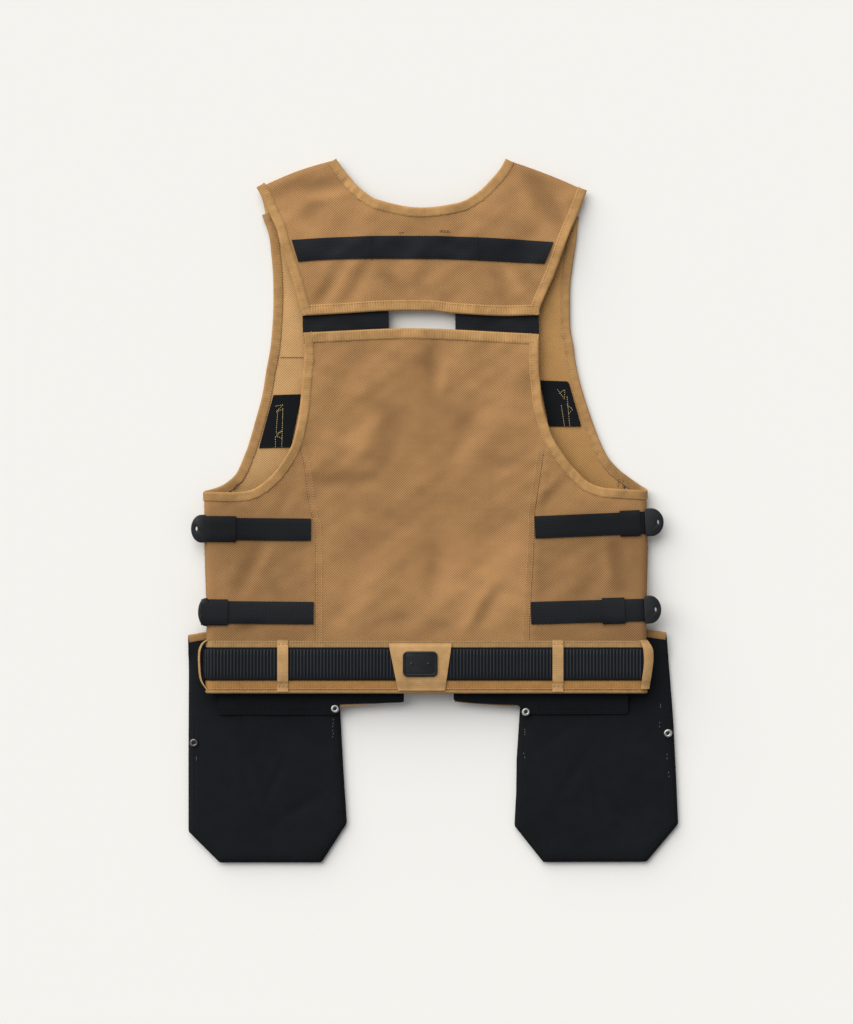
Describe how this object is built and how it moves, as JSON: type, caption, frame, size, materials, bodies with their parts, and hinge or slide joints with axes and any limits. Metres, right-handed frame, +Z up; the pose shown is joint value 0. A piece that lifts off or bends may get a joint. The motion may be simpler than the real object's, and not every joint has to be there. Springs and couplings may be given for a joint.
{
  "type": "utility work vest",
  "caption": "Tan canvas utility work vest lying flat with its back up, with a black webbing belt, side straps and black holsters hung below the hem.",
  "frame": {"origin": "middle of the bounding box, at floor level", "axes": "+Y towards the neck, +Z up out of the back, +X to the wearer's right-hand side of the laid-down back as seen from above"},
  "size_m": [0.6376, 0.9184, 0.0421],
  "materials": {
    "canvas": "matte woven cotton canvas",
    "tape": "cross-ribbed tape",
    "webbing": "matte woven webbing",
    "belting": "ribbed webbing with a slight sheen",
    "black_canvas": "matte heavy canvas",
    "plastic": "fine-grained",
    "steel": "dull nickel plate"
  },
  "bodies": {
    "root": {"back_yoke": "canvas", "back_centre": "canvas", "back_side_left": "canvas", "back_side_right": "canvas", "front_left": "canvas", "front_right": "canvas", "neck_binding": "tape", "yoke_binding_left": "tape", "yoke_binding_right": "tape", "armhole_binding_left": "tape", "armhole_binding_right": "tape", "slot_tape_upper": "tape", "slot_tape_lower": "tape", "hem_binding": "tape", "waistband": "tape", "belt_loop_inner_left": "tape", "belt_loop_inner_right": "tape", "belt_loop_side_left": "tape", "belt_loop_side_right": "tape", "centre_patch": "tape", "holster_binding_left": "tape", "holster_binding_right": "tape", "slot_elastic_left": "webbing", "slot_elastic_right": "webbing", "yoke_webbing": "webbing", "side_strap_upper_left": "webbing", "strap_keeper_upper_left": "webbing", "side_strap_lower_left": "webbing", "strap_keeper_lower_left": "webbing", "side_strap_upper_right": "webbing", "strap_keeper_upper_right": "webbing", "side_strap_lower_right": "webbing", "strap_keeper_lower_right": "webbing", "belt": "belting", "front_facing_left": "black_canvas", "front_facing_right": "black_canvas", "inner_patch_left": "black_canvas", "inner_patch_right": "black_canvas", "holster_left": "black_canvas", "holster_right": "black_canvas", "strap_buckle_upper_left": "plastic", "strap_buckle_lower_left": "plastic", "strap_buckle_upper_right": "plastic", "strap_buckle_lower_right": "plastic", "badge": "plastic", "belt_clasp": "plastic", "rivet_inner_left": "steel", "rivet_outer_left": "steel", "rivet_inner_right": "steel", "rivet_outer_right": "steel"}
  },
  "joints": []
}
